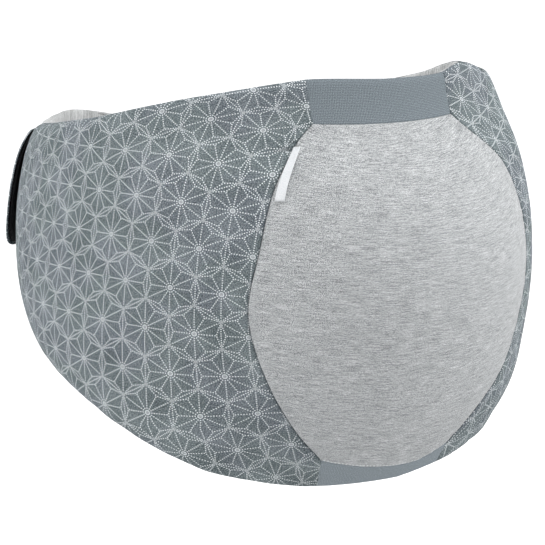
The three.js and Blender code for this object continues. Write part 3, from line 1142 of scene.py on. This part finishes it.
def hook_tape(columns, rows):
    share, k = np.meshgrid(eased(rows, ends=0.5), eased(columns, ends=0.5), indexing="ij")
    tip = tab_end(share) - degrees_for(HOOK_TAPE_MARGIN, np.array(float(TAB_END)), np.array(0.0))
    angle = lerp(HOOK_TAPE_START, tip, k)
    foot = LEFT.edges.at("bottom", angle) + HOOK_TAPE_MARGIN
    head = LEFT.edges.at("top", angle) - HOOK_TAPE_MARGIN
    height = lerp(foot, head, share)
    out = -PRINTED_CLOTH - LAYER_GAP + 0 * angle
    maps = {"cloth": (angle * TAB_PER_DEGREE * MM, height * MM)}
    return shell("hook_tape", belt(angle, height, out), belt(angle, height, out - HOOK_TAPE), maps)


hooks = hook_tape(columns=60, rows=40)
finish_piece(hooks, "hook_tab", HOOKS)

# Blank folded label in the right seam


def seam_label(rows, run_points, bend_points):
    """A folded strip: its two layers start at the seam and meet in a fold at the free edge."""
    radius = LABEL_FOLD_RADIUS
    run = np.linspace(0, LABEL_WIDTH - radius, run_points)
    bend = np.linspace(-np.pi / 2, np.pi / 2, bend_points)[1:-1]
    across = np.concatenate([run, LABEL_WIDTH - radius + radius * np.cos(bend), run[::-1]])
    fold = np.concatenate([-radius + 0 * run, radius * np.sin(bend), radius + 0 * run])
    out = LABEL_CLEAR + radius + fold
    step = np.stack([np.gradient(across), np.gradient(out)], -1)
    length = np.cumsum(np.linalg.norm(step, axis=-1))
    step = step / np.linalg.norm(step, axis=-1, keepdims=True)
    share = np.linspace(0, 1, rows + 1)[:, None]
    height = LABEL_FOOT + LABEL_RISE * share
    seam = -seam_angle(RIGHT, height)
    tilt = np.radians(LABEL_TILT) * share
    faces = []
    for half in (LABEL_TAPE / 2, -LABEL_TAPE / 2):
        a = (across + half * step[:, 1]) * (1 - LABEL_TAPER * share)
        o = out - half * step[:, 0] - LABEL_CLEAR
        along = a * np.cos(tilt) - o * np.sin(tilt)
        raised = LABEL_CLEAR + a * np.sin(tilt) + o * np.cos(tilt)
        aside = SEAM_GAP + LABEL_LEAN * (1 - share) + along
        angle = seam + degrees_for(aside, seam, height)
        faces.append(belt(angle, height - LABEL_DROP * share * a / LABEL_WIDTH, raised))
    maps = {"cloth": ((length + 0 * share) * MM, (height + 0 * across) * MM)}
    return shell("label", *faces, maps)


label = seam_label(rows=24, run_points=10, bend_points=9)
finish_piece(label, "seam_label", LABEL)

# Stage, light and camera, in metres and degrees
FLOOR_HEIGHT = -0.42
FLOOR_REACH = 40
FLOOR_GREY = (0.6, 0.6, 0.6, 1)
GLOW_STARTS = 0.6
GLOW_FULL = 1.1
GLOW_STRENGTH = 0.9
WORLD_LIGHT = 0.45
BACKDROP_LIGHT = 1.05
WHITE = (1, 1, 1, 1)
SOFTBOXES = [
    SimpleNamespace(name="softbox_top", azimuth=20, elevation=75, distance=2.5, size=2.0, power=48),
    SimpleNamespace(name="softbox_right", azimuth=60, elevation=20, distance=2.6, size=1.6, power=26),
    SimpleNamespace(name="softbox_left", azimuth=-106, elevation=15, distance=2.6, size=1.6, power=26),
]
CAMERA_AZIMUTH = -38.5
CAMERA_ELEVATION = 10.0
CAMERA_DISTANCE = 2.0
CAMERA_CLIP_END = 100
SENSOR_WIDTH = 36
FOCAL_PIXELS = 3070
IMAGE_PIXELS = 545
ORIGIN_PIXEL = (285, 272)


def direction(azimuth, elevation):
    a, e = math.radians(azimuth), math.radians(elevation)
    return Vector((math.sin(a) * math.cos(e), -math.cos(a) * math.cos(e), math.sin(e)))


def face_belt(thing, toward):
    """Turns a lamp or camera, which stands this way from the belt, to face the belt."""
    thing.rotation_mode = "QUATERNION"
    thing.rotation_quaternion = toward.to_track_quat("Z", "Y")


def floor():
    """A grey floor that glows white away from the belt, as the photograph's background does."""
    mesh = bpy.data.meshes.new("floor")
    corners = [(-1, -1), (1, -1), (1, 1), (-1, 1)]
    points = [(x * FLOOR_REACH, y * FLOOR_REACH, FLOOR_HEIGHT) for x, y in corners]
    mesh.from_pydata(points, [], [(0, 1, 2, 3)])
    plane = placed("floor", mesh)
    s = Shader("floor", roughness=1, specular=0.5)
    distance = s.vector("LENGTH", s.node("ShaderNodeNewGeometry").outputs["Position"])
    away = s.math("SUBTRACT", 1.0, s.fall(distance, GLOW_STARTS, GLOW_FULL))
    glow = s.times(away, GLOW_STRENGTH)
    s.fill(s.surface, {"Base Color": FLOOR_GREY, "Emission Color": WHITE, "Emission Strength": glow})
    mesh.materials.append(s.material)


def world():
    """White to the camera, and a softer light on the belt."""
    studio = bpy.data.worlds.new("studio")
    bpy.context.scene.world = studio
    studio.use_nodes = True
    nodes, links = studio.node_tree.nodes, studio.node_tree.links
    light = nodes["Background"]
    backdrop = nodes.new("ShaderNodeBackground")
    for background, strength in ((light, WORLD_LIGHT), (backdrop, BACKDROP_LIGHT)):
        background.inputs["Color"].default_value = WHITE
        background.inputs["Strength"].default_value = strength
    path = nodes.new("ShaderNodeLightPath")
    choice = nodes.new("ShaderNodeMixShader")
    links.new(path.outputs["Is Camera Ray"], choice.inputs[0])
    links.new(light.outputs[0], choice.inputs[1])
    links.new(backdrop.outputs[0], choice.inputs[2])
    links.new(choice.outputs[0], nodes["World Output"].inputs["Surface"])
    bpy.context.scene.view_settings.view_transform = "Standard"


def softbox(box):
    lamp = bpy.data.lights.new(box.name, "AREA")
    lamp.shape = "DISK"
    lamp.size = box.size
    lamp.energy = box.power
    toward = direction(box.azimuth, box.elevation)
    thing = placed(box.name, lamp)
    thing.location = toward * box.distance
    face_belt(thing, toward)


def camera():
    data = bpy.data.cameras.new("camera")
    data.sensor_width = SENSOR_WIDTH
    data.lens = FOCAL_PIXELS * SENSOR_WIDTH / IMAGE_PIXELS
    data.clip_end = CAMERA_CLIP_END
    eye = placed("camera", data)
    toward = direction(CAMERA_AZIMUTH, CAMERA_ELEVATION)
    face_belt(eye, toward)
    per_pixel = CAMERA_DISTANCE / FOCAL_PIXELS
    aside = Vector((IMAGE_PIXELS / 2 - ORIGIN_PIXEL[0], ORIGIN_PIXEL[1] - IMAGE_PIXELS / 2, 0)) * per_pixel
    eye.location = toward * CAMERA_DISTANCE + eye.rotation_quaternion @ aside
    bpy.context.scene.camera = eye


floor()
world()
for box in SOFTBOXES:
    softbox(box)
camera()
